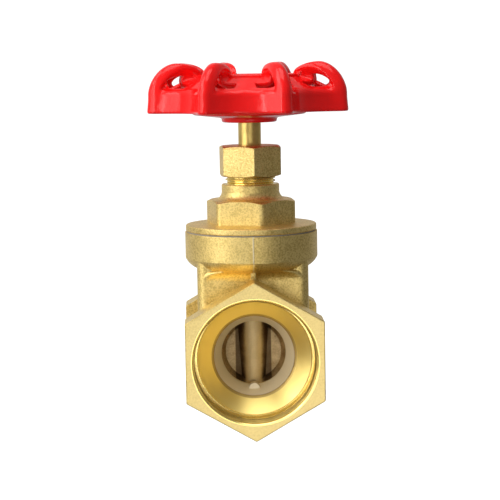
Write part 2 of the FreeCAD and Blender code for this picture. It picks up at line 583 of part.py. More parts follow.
def makeBonnet():
    """The screwed bonnet: spigot, flange, hexagon, neck, stuffing box and the room for the raised wedge."""
    body = newBody("bonnet")
    outer = outline(body, "BonnetOutline", "XZ_Plane", [
        ("0", "spigotBottom"), ("spigotRadius - 2 * edgeBreak", "spigotBottom"),
        ("spigotRadius", "spigotBottom + 2 * edgeBreak"),
        ("spigotRadius", "flangeBottom"), ("flangeRadius - edgeBreak", "flangeBottom"),
        ("flangeRadius", "flangeBottom + edgeBreak"), ("flangeRadius", "flangeTop - edgeBreak"),
        ("flangeRadius - edgeBreak", "flangeTop"), ("bonnetFlats / 2", "hexBottom"),
        ("bonnetFlats / 2 - edgeBreak", "hexBottom + 1"),
        ("bonnetFlats / 2 - edgeBreak", "bonnetHexTop", "neckFlareRound"), ("neckRadius", "neckFlareTop"),
        ("neckRadius", "neckTop - edgeBreak"), ("neckRadius - edgeBreak", "neckTop"),
        ("glandThreadCore", "neckTop"), ("glandThreadCore", "glandThreadTop - 0.6"),
        ("glandThreadCore - 0.6", "glandThreadTop"), ("0", "glandThreadTop")])
    turned(body, "Revolution", "BonnetTurning", outer)
    flats = outline(body, "BonnetHexagon", "XY_Plane", hexagon("bonnetFlats", "bonnetTurn"),
                    "hexBottom - flangeRise")
    straight(body, "Pad", "BonnetHex", flats, "bonnetHexTop - hexBottom + flangeRise")
    reach = value("bonnetFlats / sqrt(3)")
    rounded(body, "BonnetHexCorners", "Fillet", "bonnetHexRound", lambda edge: isUpright(edge)
            and abs(math.hypot(edge.CenterOfMass.x, edge.CenterOfMass.y) - reach) < 1e-3)
    corner = outline(body, "BonnetHexChamfer", "XZ_Plane", [
        ("bonnetFlats / 2 - 0.6", "bonnetHexTop + edgeBreak"),
        ("bonnetFlats / sqrt(3) + overcut", "bonnetHexTop - bonnetHexChamfer"),
        ("bonnetFlats / sqrt(3) + overcut", "bonnetHexTop + edgeBreak")])
    turned(body, "Groove", "BonnetHexTopCut", corner)
    room = outline(body, "BonnetRoom", "XZ_Plane", [
        ("0", "spigotBottom - overcut"), ("spigotRadius - domeSkirtWall", "spigotBottom - overcut"),
        ("spigotRadius - domeSkirtWall", "spigotBottom + 5"), ("domeRadius", "spigotBottom + 11"),
        ("domeRadius", "domeShoulder"), ("domeRadius - 5", "domeTop"), ("0", "domeTop")])
    turned(body, "Groove", "WedgeRoom", room)
    bore = outline(body, "StuffingBoxOutline", "XZ_Plane", [
        ("0", "domeTop - overcut"), ("stemRadius + stemBoreGap", "domeTop - overcut"),
        ("stemRadius + stemBoreGap", "shelfHeight"), ("boxRadius", "shelfHeight"),
        ("boxRadius", "glandThreadTop - edgeBreak"),
        ("boxRadius + edgeBreak + overcut", "glandThreadTop + overcut"), ("0", "glandThreadTop + overcut")])
    turned(body, "Groove", "StuffingBox", bore)
    screwThread(body, "AdditiveHelix", "NeckThread", "glandThreadCore", "glandThreadRadius", "glandLead",
                "neckTop + glandThreadStart", "(glandThreadLength - glandThreadStart - overcut) / glandLead",
                left=False)


def makeGasketAndPacking():
    """Everything ring-shaped that is clamped: gasket, thrust washers, packing rings and gland follower."""
    ringPart("bonnet_gasket", "bonnetThreadRadius + 0.8", "collarRadius - gasketInset",
             "collarTop", "flangeBottom")
    inner, outer = "stemRadius + stemGap", "boxRadius - boxGap"
    ringPart("thrust_washer_lower", "stemRadius + stemBoreGap", outer,
             "shelfHeight", "shelfHeight + washerThickness")
    ringPart("thrust_washer_upper", inner, outer, "upperWasher", "upperWasher + washerThickness")
    for ring in range(int(value("packingCount"))):
        low = f"packingLow + packingHeight * {ring}"
        ringPart(f"packing_ring_{ring + 1}", inner, outer, low, f"{low} + packingHeight")
    body = newBody("gland_follower")
    section = outline(body, "GlandSection", "XZ_Plane", [
        (inner, "glandLow"), (outer, "glandLow"), (outer, "glandFlangeLow"),
        ("glandFlange", "glandFlangeLow"), ("glandFlange", "glandTop"), (inner, "glandTop")])
    turned(body, "Revolution", "GlandTurning", section)


def chamferNut(body, name, flats, drop, bottom, top):
    """Cuts a hexagon nut's corners back by a cone at each end."""
    start, end = f"{flats} / 2 - chamferInset", f"{flats} / sqrt(3) + overcut"
    for part, face, inward, outward in (("Top", top, "-", "+"), ("Bottom", bottom, "+", "-")):
        section = outline(body, name + part + "Chamfer", "XZ_Plane", [
            (start, face), (end, f"{face} {inward} {drop}"), (end, f"{face} {outward} edgeBreak"),
            (start, f"{face} {outward} edgeBreak")])
        turned(body, "Groove", name + part + "Cut", section)


def makePackingNut():
    """The hexagon nut on the neck that presses the gland down."""
    body = newBody("packing_nut")
    flats = outline(body, "NutHexagon", "XY_Plane", hexagon("nutFlats", "nutTurn"), "nutBottom")
    straight(body, "Pad", "NutBlock", flats, "nutTop - nutBottom")
    chamferNut(body, "Nut", "nutFlats", "nutChamfer", "nutBottom", "nutTop")
    hollow = outline(body, "NutHollow", "XZ_Plane", [
        ("0", "nutBottom - overcut"), ("glandThreadCore + screwGap + 1.2", "nutBottom - overcut"),
        ("glandThreadCore + screwGap", "nutBottom + 0.7"), ("glandThreadCore + screwGap", "glandTop"),
        ("stemRadius + stemBoreGap", "glandTop"), ("stemRadius + stemBoreGap", "nutTop - edgeBreak"),
        ("stemRadius + stemBoreGap + edgeBreak + overcut", "nutTop + overcut"), ("0", "nutTop + overcut")])
    turned(body, "Groove", "NutBore", hollow)
    screwThread(body, "SubtractiveHelix", "NutThread", "glandThreadCore + screwGap",
                "glandThreadRadius + screwGap", "glandLead", "neckTop + glandThreadStart + glandLead",
                "glandThreadLength / glandLead", "glandEase", left=False)


def makeStem():
    """The stem: lifting thread, thrust collar, shank, square and threaded top end."""
    body = newBody("stem")
    tangLow = "(hubBottom - tangGap / 2)"
    tangHigh = "(hubTop - 0.3)"
    profile = outline(body, "StemOutline", "XZ_Plane", [
        ("0", "screwBottom"), ("screwCore - 0.5", "screwBottom"), ("screwCore", "screwBottom + 0.5"),
        ("screwCore", "screwTop"), ("stemRadius", "screwTop + 1.5"), ("stemRadius", "thrustLow"),
        ("stemCollarRadius", "thrustLow"), ("stemCollarRadius", "thrustHigh"), ("stemRadius", "thrustHigh"),
        ("stemRadius", tangLow), ("wheelThreadRadius", tangLow), ("wheelThreadRadius", "stemTop - 0.7"),
        ("wheelThreadRadius - 0.7", "stemTop"), ("0", "stemTop")])
    turned(body, "Revolution", "StemTurning", profile)
    square = outline(body, "TangSquare", "XY_Plane", [
        around("tangSide / sqrt(2)", f"wheelAngle + {45 + 90 * corner}") for corner in range(4)],
        f"{tangLow} - 0.2")
    straight(body, "Pad", "Tang", square, f"{tangHigh} - {tangLow} + 0.2")
    screwThread(body, "AdditiveHelix", "LiftingThread", "screwCore", "screwRadius", "screwLead",
                "screwBottom + screwLead / 2", "(screwTop - screwBottom - screwLead) / screwLead")


def makeWedge():
    """The wedge: sloping disc with a recess in each face, threaded boss and slotted guide wings."""
    body = newBody("wedge")
    disc = circles(body, "DiscCircle", "XZ_Plane", [("0", "0", "wedgeRadius")])
    reach, block = "(wedgeRadius + overcut)", "(seatHalf + 4)"
    straight(body, "Pad", "Disc", disc, f"2 * {block}", symmetric=True)
    for side, name in (("-", "Front"), ("", "Rear")):
        off = outline(body, name + "SlopeOutline", "YZ_Plane", [
            (f"{side}{slopeAt('-' + reach)}", f"-{reach}"), (f"{side}({block} + overcut)", f"-{reach}"),
            (f"{side}({block} + overcut)", reach), (f"{side}{slopeAt(reach)}", reach)])
        straight(body, "Pocket", name + "Slope", off, f"2 * {reach}", symmetric=True)
    for side, name in (("-", "Front"), ("", "Rear")):
        growth = "(recessMouth - recessFloor) / (seatHalf - webHalf)"
        hollow = outline(body, name + "RecessOutline", "YZ_Plane", [
            (f"{side}webHalf", "0"), (f"{side}webHalf", "recessFloor"),
            (f"{side}(seatHalf + 2)", f"recessMouth + 2 * {growth}"), (f"{side}(seatHalf + 2)", "0")])
        turned(body, "Groove", name + "Recess", hollow, "H_Axis")
    boss = outline(body, "BossOutline", "XZ_Plane", [
        ("0", "bossBottom"), (f"{slopeAt('bossBottom')} - bossInset", "bossBottom"),
        (f"{slopeAt('wedgeRadius - 4')} - bossInset", "wedgeRadius - 4"),
        (f"{slopeAt('wedgeRadius - 4')} - bossInset", "wedgeTop - 1"),
        (f"{slopeAt('wedgeRadius - 4')} - bossInset - 1", "wedgeTop"), ("0", "wedgeTop")])
    turned(body, "Revolution", "Boss", boss)
    wing = "(innerHalf - wingGap)"
    for side, name in (("-", "Left"), ("", "Right")):
        plank = outline(body, name + "WingOutline", "XZ_Plane", [
            (f"{side}(recessMouth + 1.2)", "wingLow"), (f"{side}{wing}", "wingLow"),
            (f"{side}{wing}", "wingHigh"), (f"{side}(recessMouth + 1.2)", "wingHigh")])
        straight(body, "Pad", name + "Wing", plank, "2 * wingHalf", symmetric=True)
    slotEnd = "(innerHalf - guideReach - guideGap)"
    for side, name in (("-", "Left"), ("", "Right")):
        slot = outline(body, name + "SlotOutline", "XZ_Plane", [
            (f"{side}{slotEnd}", "wingLow - 6"), (f"{side}({wing} + 1)", "wingLow - 6"),
            (f"{side}({wing} + 1)", "wingHigh + 1"), (f"{side}{slotEnd}", "wingHigh + 1")])
        straight(body, "Pocket", name + "Slot", slot, "guideThickness + 2 * guideGap", symmetric=True)
    bore = outline(body, "WedgeBore", "XZ_Plane", [
        ("0", "-wedgeRadius - 1"), ("screwRadius + screwGapRadial", "-wedgeRadius - 1"),
        ("screwRadius + screwGapRadial", "wedgeTop - wedgeThreadTurns * screwLead"),
        ("screwCore + screwGapRadial", "wedgeTop - wedgeThreadTurns * screwLead + 1.2"),
        ("screwCore + screwGapRadial", "wedgeTop + 1"), ("0", "wedgeTop + 1")])
    turned(body, "Groove", "Bore", bore)
    screwThread(body, "SubtractiveHelix", "LiftingGroove", "screwCore + screwGapRadial",
                "screwRadius + screwGapRadial", "screwLead", "screwBottom - 1.5 * screwLead",
                "wedgeThreadTurns + 1", "screwEase")


def makeHandwheel():
    """The cast wheel: lobed hollow rim, ridges, windows, cup and hub. It is turned once it is made."""
    body = newBody("handwheel")

    def up(height):
        return f"skirtBottom + {height}"
    dish = outline(body, "DishOutline", "XZ_Plane", [
        ("0", up("-hubDrop")), ("hubRadius", up("-hubDrop")), ("hubRadius", up("-hubDrop + 2.2")),
        ("crownRadius", up("-webDrop")), ("crownRadius", up("crownHeight - rimWall - 0.8")),
        ("valleyRadius - rimWall", up("skirtHeight - rimWall")), ("valleyRadius - rimWall", up("0")),
        ("wheelRadius", up("0")), ("wheelRadius", up("skirtHeight - 1")), ("valleyRadius", up("skirtHeight")),
        ("crownRadius", up("crownHeight - 0.7")), ("crownRadius - 1", up("crownHeight")),
        ("cupRadius + 0.8", up("crownHeight")), ("cupRadius", up("crownHeight - 0.8")),
        ("cupRadius", up("cupFloor")), ("0", up("cupFloor"))])
    turned(body, "Revolution", "Dish", dish)
    away = "(valleyRadius + scallopRadius)"
    half = "180 / lobeCount"
    bite = circles(body, "ScallopCircle", "XY_Plane", [
        (f"{away} * cos({half} * 1 deg)", f"{away} * sin({half} * 1 deg)", "scallopRadius")], up("-overcut"))
    scallop = straight(body, "Pocket", "Scallop", bite, "ridgeHeight + 2", reversed_=True)
    pattern(body, "Scallops", scallop, "lobeCount")
    height, reach = value("skirtHeight / 2"), value("wheelRadius - overcut")
    rounded(body, "LobeNoses", "Fillet", "noseRound", lambda edge: isUpright(edge) and edge.Length > height
            and math.hypot(edge.CenterOfMass.x, edge.CenterOfMass.y) > reach)
    lobe = circles(body, "LobeHollowCircle", "XY_Plane",
                   [("valleyRadius - lobeHollowInset", "0", "lobeHollowRadius")], up("-overcut"))
    hollow = straight(body, "Pocket", "LobeHollow", lobe, "skirtHeight - rimWall + 3", reversed_=True)
    pattern(body, "LobeHollows", hollow, "lobeCount")
    makeRidges(body, up)
    makeWindows(body, up)
    side = "(tangSide / 2 + tangGap)"
    square = outline(body, "HubSquare", "XY_Plane", [
        (side, side), (f"-{side}", side), (f"-{side}", f"-{side}"), (side, f"-{side}")],
        up("-hubDrop - overcut"))
    straight(body, "Pocket", "SquareHole", square, "hubDrop + cupFloor + 2 * overcut", reversed_=True)
    body.Placement = FreeCAD.Placement(Vector(), FreeCAD.Rotation(Vector(0, 0, 1), 0))
    body.setExpression("Placement.Rotation.Angle", bound("wheelAngle * 1 deg"))


def makeRidges(body, up):
    """A ridge over each lobe: an upright web with a round bar along its top."""
    outer, inner = "(wheelRadius - 0.3 - ridgeWidth / 2)", "(crownRadius + 0.6)"
    foot, crest, tail = "(skirtHeight + 0.6)", "(ridgeHeight - ridgeWidth / 2)", "(crownHeight - 3)"
    turn, drop = f"({crest} - {foot})", f"({crest} - {tail})"
    peak = f"({outer} - {turn})"
    run = f"({peak} - {inner})"
    slow = f"(({run} * {run} + {drop} * {drop}) / (2 * {drop}))"
    way = [(outer, up("skirtHeight - 3")), (outer, up(foot), f"-{turn}"), (peak, up(crest), f"-{slow}"),
           (inner, up(tail))]
    within = ("valleyRadius - rimWall", up("skirtHeight - 1.4"))
    web = outline(body, "RidgeOutline", "XZ_Plane", way + [within])
    ridge = straight(body, "Pad", "Ridge", web, "ridgeWidth", symmetric=True)
    pattern(body, "Ridges", ridge, "lobeCount")
    section = circles(body, "BarCircle", "XY_Plane", [(outer, "0", "ridgeWidth / 2")], up("skirtHeight - 3"))
    before = volumeOf(body)
    bar = feature(body, "AdditivePipe", "RidgeBar", section)
    bar.Spine = (path(body, "BarPath", "XZ_Plane", way), ["Edge1", "Edge2", "Edge3"])
    doc.recompute()
    confirm(body, bar, before, "AdditivePipe")
    pattern(body, "RidgeBars", bar, "lobeCount")


def makeWindows(body, up):
    """Two windows in each hollow, either side of a spoke."""
    half = "180 / lobeCount"

    def placed(along, across):
        return (f"({along}) * cos({half} * 1 deg) - ({across}) * sin({half} * 1 deg)",
                f"({along}) * sin({half} * 1 deg) + ({across}) * cos({half} * 1 deg)")
    for side, name in (("-", "Left"), ("", "Right")):
        near, far = f"{side}(windowSpoke / 2)", f"{side}(windowSpoke / 2 + windowWidth)"
        bow = "-windowBow" if side else "windowBow"
        hole = outline(body, name + "WindowOutline", "XY_Plane", [
            placed("windowInner", near), placed("windowOuter", near) + (bow,),
            placed("windowOuter", far), placed("windowInner", far) + (bow,)], up("overcut"))
        cut = straight(body, "Pocket", name + "Window", hole, "ridgeHeight", reversed_=True)
        pattern(body, name + "Windows", cut, "lobeCount")


def makeWheelFastening():
    """Name plate, spring washer and nut on top of the hub."""
    hole = "wheelThreadRadius + wheelNutGap"
    ringPart("name_plate", hole, "plateRadius", "hubTop", "plateTop")
    washer = ringPart("spring_washer", hole, "springRadius", "plateTop", "springTop")
    slit = outline(washer, "SlitOutline", "XY_Plane", [
        ("0", "-springSlit / 2"), ("springRadius + overcut", "springSlit / 2"),
        ("springRadius + overcut", "3 * springSlit / 2"), ("0", "springSlit / 2")], "plateTop - overcut")
    straight(washer, "Pocket", "Slit", slit, "springThickness + 2 * overcut", reversed_=True)
    nut = newBody("wheel_nut")
    flats = outline(nut, "WheelNutHexagon", "XY_Plane", hexagon("wheelNutFlats", "wheelNutTurn"), "springTop")
    straight(nut, "Pad", "WheelNutBlock", flats, "wheelNutHeight")
    chamferNut(nut, "WheelNut", "wheelNutFlats", "wheelNutChamfer", "springTop", "wheelNutTop")
    bore = circles(nut, "WheelNutBore", "XY_Plane", [("0", "0", hole)], "springTop - overcut")
    straight(nut, "Pocket", "WheelNutHole", bore, "wheelNutHeight + 2 * overcut", reversed_=True)


def writeParts():
    """Checks every object and sub-part, then writes one STEP file for each sub-part."""
    doc.recompute()
    for item in doc.Objects:
        if "Invalid" in item.State or "Error" in item.State:
            raise RuntimeError(f"{item.Label}: {item.State}")
    for part in subParts:
        if part.Shape.isNull() or not part.Shape.isValid() or len(part.Shape.Solids) != 1:
            raise RuntimeError(f"{part.Label}: not one valid solid")
    os.makedirs("parts", exist_ok=True)
    for part in subParts:
        part.Shape.exportStep(f"parts/{part.Label}.step")
        box = part.Shape.BoundBox
        print(f"{part.Label}: {part.Shape.Volume:.1f} mm3, z {box.ZMin:.2f} to {box.ZMax:.2f}")


makeBody()
makeBonnet()
makeGasketAndPacking()
makePackingNut()
makeStem()
makeWedge()
makeHandwheel()
makeWheelFastening()
writeParts()
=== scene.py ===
import math
import bpy
import numpy as np
from mathutils import Matrix, Vector


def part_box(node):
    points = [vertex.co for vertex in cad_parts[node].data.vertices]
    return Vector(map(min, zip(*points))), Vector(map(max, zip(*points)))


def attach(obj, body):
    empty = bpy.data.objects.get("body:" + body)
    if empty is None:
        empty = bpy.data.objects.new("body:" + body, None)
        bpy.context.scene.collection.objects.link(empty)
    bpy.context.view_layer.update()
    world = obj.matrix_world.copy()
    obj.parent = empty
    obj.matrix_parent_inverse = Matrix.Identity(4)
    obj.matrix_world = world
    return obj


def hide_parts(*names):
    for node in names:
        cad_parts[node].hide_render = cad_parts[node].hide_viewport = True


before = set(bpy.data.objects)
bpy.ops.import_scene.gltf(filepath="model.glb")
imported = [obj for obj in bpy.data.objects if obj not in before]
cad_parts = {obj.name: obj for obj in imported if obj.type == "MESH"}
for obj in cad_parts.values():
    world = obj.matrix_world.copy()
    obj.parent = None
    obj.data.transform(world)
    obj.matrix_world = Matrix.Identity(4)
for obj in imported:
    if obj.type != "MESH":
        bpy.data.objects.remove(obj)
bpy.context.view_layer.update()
mm = 0.001  # the valve's sizes below are in millimetres, the studio's and the floor's in metres


# A socket that adds, subtracts, multiplies, divides and compares like a number.
class Wire:
    def __init__(self, tree, socket):
        self.tree, self.socket = tree, socket

    def apply(self, operation, *values):
        node = self.tree.nodes.new("ShaderNodeMath")
        node.operation = operation
        for slot, item in zip(node.inputs, values):
            plug(self.tree, slot, item)
        return Wire(self.tree, node.outputs[0])

    def __add__(self, other):
        return self.apply("ADD", self, other)

    def __radd__(self, other):
        return self.apply("ADD", other, self)

    def __sub__(self, other):
        return self.apply("SUBTRACT", self, other)

    def __rsub__(self, other):
        return self.apply("SUBTRACT", other, self)

    def __mul__(self, other):
        return self.apply("MULTIPLY", self, other)

    def __rmul__(self, other):
        return self.apply("MULTIPLY", other, self)

    def __truediv__(self, other):
        return self.apply("DIVIDE", self, other)

    def __rtruediv__(self, other):
        return self.apply("DIVIDE", other, self)

    def __pow__(self, other):
        return self.apply("POWER", self, other)

    def __gt__(self, other):
        return self.apply("GREATER_THAN", self, other)

    def __lt__(self, other):
        return self.apply("LESS_THAN", self, other)

    def __abs__(self):
        return self.apply("ABSOLUTE", self)


# A link where the item is a wire, and the socket's own value where it is a number or a colour.
def plug(tree, slot, item):
    if isinstance(item, Wire):
        tree.links.new(item.socket, slot)
    elif slot.type == "RGBA" and len(item) == 3:
        slot.default_value = (*item, 1)
    else:
        slot.default_value = item


# 1 where the value lies between low and high, 0 elsewhere.
def band(value, low, high):
    return (value > low) * (value < high)


# One material: its nodes, and the patterns that several materials share.
class Finish:
    def __init__(self, name):
        self.material = bpy.data.materials.new(name)
        self.material.use_nodes = True
        self.tree = self.material.node_tree
        self.tree.nodes.clear()
        metres = self.node("TexCoord", out="Object")
        self.place = self.node("VectorMath", dict(operation="SCALE"), Vector=metres, Scale=1 / mm)
        self.x, self.y, self.z = (self.node("SeparateXYZ", out=axis, Vector=self.place) for axis in "XYZ")

    # Any node: its type, its settings, which output is wanted, and its sockets' values or links.
    def node(self, kind, settings=None, out=0, **sockets):
        made = self.tree.nodes.new("ShaderNode" + kind)
        for name, setting in (settings or {}).items():
            setattr(made, name, setting)
        for name, item in sockets.items():
            label = name.replace("_", " ")
            slot = [socket for socket in made.inputs if socket.name == label and socket.enabled][0]
            plug(self.tree, slot, item)
        return Wire(self.tree, made.outputs[out])

    # Noise from 0 to 1 whose spots are about that many millimetres across.
    def noise(self, size, detail=2.0, rough=0.5):
        return self.node("TexNoise", Vector=self.place, Scale=1 / size, Detail=detail, Roughness=rough)

    # Rings left by a turning tool: noise of one number, so it changes along the cut and not around it.
    def toolRings(self, along, perMillimetre):
        settings = dict(noise_dimensions="1D")
        return self.node("TexNoise", settings, W=along * perMillimetre, Scale=1.0, Detail=3.0)

    # 1 in the open, falling towards 0 in corners and hollows narrower than the reach.
    def hollows(self, reach):
        return self.node("AmbientOcclusion", dict(samples=6), out="AO", Distance=reach * mm)

    # 0 below low, 1 above high, and a smooth step between.
    def smooth(self, value, low, high):
        settings = dict(interpolation_type="SMOOTHSTEP")
        return self.node("MapRange", settings, Value=value, From_Min=low, From_Max=high)

    # Two colours mixed by a share.
    def mix(self, share, first, second):
        node = self.tree.nodes.new("ShaderNodeMix")
        node.data_type = "RGBA"
        for slot, item in ((node.inputs[0], share), (node.inputs[6], first), (node.inputs[7], second)):
            plug(self.tree, slot, item)
        return Wire(self.tree, node.outputs[2])

    # A bump of that depth, on edges rounded by the radius.
    def bump(self, height, depth, radius):
        rounded = self.node("Bevel", dict(samples=4), Radius=radius * mm)
        return self.node("Bump", Height=height, Distance=depth * mm, Normal=rounded)

    # The Principled shader that ends a material.
    def shade(self, colour, roughness, normal=None, **fixed):
        shader = self.tree.nodes.new("ShaderNodeBsdfPrincipled")
        for name, item in dict(Base_Color=colour, Roughness=roughness, **fixed).items():
            plug(self.tree, shader.inputs[name.replace("_", " ")], item)
        if normal:
            plug(self.tree, shader.inputs["Normal"], normal)
        output = self.tree.nodes.new("ShaderNodeOutputMaterial")
        self.tree.links.new(shader.outputs[0], output.inputs["Surface"])
        return self.material


# Quads of a grid of rows by columns, numbered row by row; the last column joins the first.
def gridFaces(rows, columns):
    row, column = np.meshgrid(np.arange(rows - 1), np.arange(columns), indexing="ij")
    here, beside = row * columns + column, row * columns + (column + 1) % columns
    quads = np.stack([here, beside, beside + columns, here + columns], axis=-1)
    return quads.reshape(-1, 4).tolist()


def newPiece(name, points, faces):
    mesh = bpy.data.meshes.new(name)
    mesh.from_pydata(points.tolist(), [], faces)
    mesh.validate()
    mesh.shade_smooth()
    piece = bpy.data.objects.new(name, mesh)
    bpy.context.scene.collection.objects.link(piece)
    return piece


def addModifier(piece, kind, **settings):
    made = piece.modifiers.new(kind.lower(), kind)
    for name, setting in settings.items():
        setattr(made, name, setting)


# How far each port's mouth is from the valve's middle, from the body in the frame.
def portMouth():
    return abs(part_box("body")[0].y) / mm


studio = {
    "cameraPlace": (-0.0224, -0.7982, 0.1438),
    "cameraYaw": 1.554, "cameraPitch": 6.70, "cameraRoll": -0.958,  # degrees
    "lens": 116.35, "sensor": 36,
    "near": 0.01, "far": 50,
    "aim": (0, 0, 0.05),    # every light looks at this point
}

lights = {  # azimuth from the front towards the right, elevation, distance, width, height, watts
    "keyPanel": (-62, 18, 1.1, 0.8, 0.9, 5.0),
    "stripPanel": (-43, 10, 1.1, 0.12, 0.7, 1.1),
    "topPanel": (-10, 75, 1.0, 0.7, 0.7, 4.0),
    "frontFill": (4, -14, 1.5, 0.8, 0.6, 3.0),
    "sidePanel": (-78, 46, 1.0, 0.5, 0.5, 2.2),
}


def makeCamera():
    data = bpy.data.cameras.new("camera")
    data.lens, data.sensor_width = studio["lens"], studio["sensor"]
    data.clip_start, data.clip_end = studio["near"], studio["far"]
    camera = bpy.data.objects.new("camera", data)
    bpy.context.scene.collection.objects.link(camera)
    turn = (Matrix.Rotation(math.radians(-studio["cameraYaw"]), 4, "Z")
            @ Matrix.Rotation(math.radians(90 - studio["cameraPitch"]), 4, "X")
            @ Matrix.Rotation(math.radians(studio["cameraRoll"]), 4, "Z"))
    camera.matrix_world = Matrix.Translation(studio["cameraPlace"]) @ turn
    bpy.context.scene.camera = camera


def makeLights():
    for name, (azimuth, elevation, distance, wide, high, watts) in lights.items():
        data = bpy.data.lights.new(name, "AREA")
        data.shape, data.size, data.size_y, data.energy = "RECTANGLE", wide, high, watts
        light = bpy.data.objects.new(name, data)
        bpy.context.scene.collection.objects.link(light)
        side, rise = math.radians(azimuth), math.radians(elevation)
        away = Vector((math.sin(side) * math.cos(rise), -math.cos(side) * math.cos(rise), math.sin(rise)))
        light.location = Vector(studio["aim"]) + away * distance
        light.rotation_euler = away.to_track_quat("Z", "Y").to_euler()
        light.visible_camera = False


room = {
    "everywhere": 0.18, "left": 0.27, "behind": 0.35, "above": 0.08,  # strengths that are added up
    "leftStart": 0.45, "leftEnd": -0.75,  # the left's share grows between these two directions
    "backdrop": 1.1,
}


# A room that is bright on the left and behind and dark on the right, and plain white where the camera looks.
def makeWorld():
    world = bpy.data.worlds.new("studio")
    bpy.context.scene.world = world
    world.use_nodes = True
    tree = world.node_tree
    tree.nodes.clear()
    direction = tree.nodes.new("ShaderNodeTexCoord").outputs["Generated"]
    split = tree.nodes.new("ShaderNodeSeparateXYZ")
    tree.links.new(direction, split.inputs[0])
    right, back, up = (Wire(tree, split.outputs[axis]) for axis in "XYZ")
    left = tree.nodes.new("ShaderNodeMapRange")
    left.interpolation_type = "SMOOTHSTEP"
    span = (("Value", right), ("From Min", room["leftStart"]), ("From Max", room["leftEnd"]))
    for slot, item in span:
        plug(tree, left.inputs[slot], item)
    behind = back.apply("MAXIMUM", back, 0.0)
    above = up.apply("MAXIMUM", up, 0.0)
    level = (room["everywhere"] + room["left"] * Wire(tree, left.outputs[0])
             + room["behind"] * behind * behind + room["above"] * above)
    seen = Wire(tree, tree.nodes.new("ShaderNodeLightPath").outputs["Is Camera Ray"])
    background = tree.nodes.new("ShaderNodeBackground")
    plug(tree, background.inputs["Strength"], level * (1 - seen) + room["backdrop"] * seen)
    background.inputs["Color"].default_value = (1, 1, 1, 1)
    output = tree.nodes.new("ShaderNodeOutputWorld")
    tree.links.new(background.outputs[0], output.inputs["Surface"])


floorDisc = {
    "drop": 0.25, "innerRadius": 0.02, "outerRadius": 6.0,  # metres; the drop is below the pipe's axis
    "rings": 4, "steps": 96,
    "white": (0.97, 0.97, 0.97), "offWhite": (0.9, 0.9, 0.9), "cloudSize": 40, "cloudShare": 0.05,
    "rough": 0.9, "glow": 0.85,
}


# A flat disc: radius times the cosine and sine of the angle on a grid of the two, with a face in its middle.
def makeFloor():
    rings, steps = floorDisc["rings"], floorDisc["steps"]
    radius, angle = np.meshgrid(np.linspace(floorDisc["innerRadius"], floorDisc["outerRadius"], rings),
                                np.linspace(0, 2 * np.pi, steps, endpoint=False), indexing="ij")
    points = np.stack([radius * np.cos(angle), radius * np.sin(angle),
                       np.full_like(radius, -floorDisc["drop"])], axis=-1).reshape(-1, 3)
    floor = newPiece("floor", points, gridFaces(rings, steps) + [list(range(steps - 1, -1, -1))])
    finish = Finish("floorPaint")
    cloud = finish.noise(floorDisc["cloudSize"], 3)
    tone = finish.mix(cloud * floorDisc["cloudShare"], floorDisc["white"], floorDisc["offWhite"])
    floor.data.materials.append(finish.shade(tone, floorDisc["rough"], Emission_Color=(1, 1, 1),
                                             Emission_Strength=floorDisc["glow"]))
    floor.visible_glossy = floor.visible_diffuse = False


brass = {
    "light": (0.94, 0.72, 0.27), "deep": (0.66, 0.47, 0.14),  # the two tones of a blasted casting
    "turned": (1.0, 0.78, 0.26), "stem": (0.48, 0.31, 0.08),  # and of a turned part
    "grain": 0.85, "grainDepth": 0.17, "cloud": 7, "cloudShare": 0.25, "toneSpan": (0.36, 0.60),
    "edgeRound": 0.5,
    "castRough": 0.46, "roughSpread": 0.12,
    "coat": 0.25, "coatRough": 0.4,
}


# Blasted casting: fine grain over a slow cloudy tone, as three parts grain to one part cloud.
def sandCast(finish):
    grain = finish.noise(brass["grain"], 2.5, 0.6)
    cloud = finish.noise(brass["cloud"], 3)
    share = grain * (1 - brass["cloudShare"]) + cloud * brass["cloudShare"]
    return grain, finish.mix(finish.smooth(share, *brass["toneSpan"]), brass["deep"], brass["light"])


bodyZones = {  # depth from the valve's middle (from, to), then radius from the pipe's axis (from, to)
    "thread": (25.5, 60, -1, 30.9),
    "bowl": (19.0, 25.5, 19.9, 30.9),
    "floor": (18.9, 19.7, 19.5, 21.2),   # the narrow ledge where the bowl meets the passage
    "passage": (9.0, 18.6, -1, 19.9),
    "groove": (18.3, 19.6, 19.5, 20.9),
}

bodyFinish = {
    "face": (0.76, 0.59, 0.24), "faceShare": 0.65, "faceSkin": 0.05, "faceRough": 0.08,
    # the passage's pale pinkish colour is the cast oxide's tone, raised towards white as painted light
    # against the shade inside the passage
    "passage": (1.0, 0.86, 0.58), "passageRough": 0.05, "passageDull": 0.7,
    # the groove's dark brown is painted shade in the narrow ring where the bowl meets the passage
    "groove": (0.30, 0.16, 0.05), "grooveShare": 0.6,
    # the seam's near-white colour is a painted highlight along the mould's parting line
    "seam": (1.0, 0.93, 0.72), "seamShare": 0.6,
    "seamHalf": 0.32, "seamFront": -20, "seamLow": 41.5,  # the mould's parting line on the collar
    "threadRough": 0.24, "bowlRough": 0.36,
    "rings": 3.1, "ringDepth": 0.06,
    "portSmooth": 0.9, "faceSmooth": 0.7,  # turned and faced metal keeps little of the grain
}


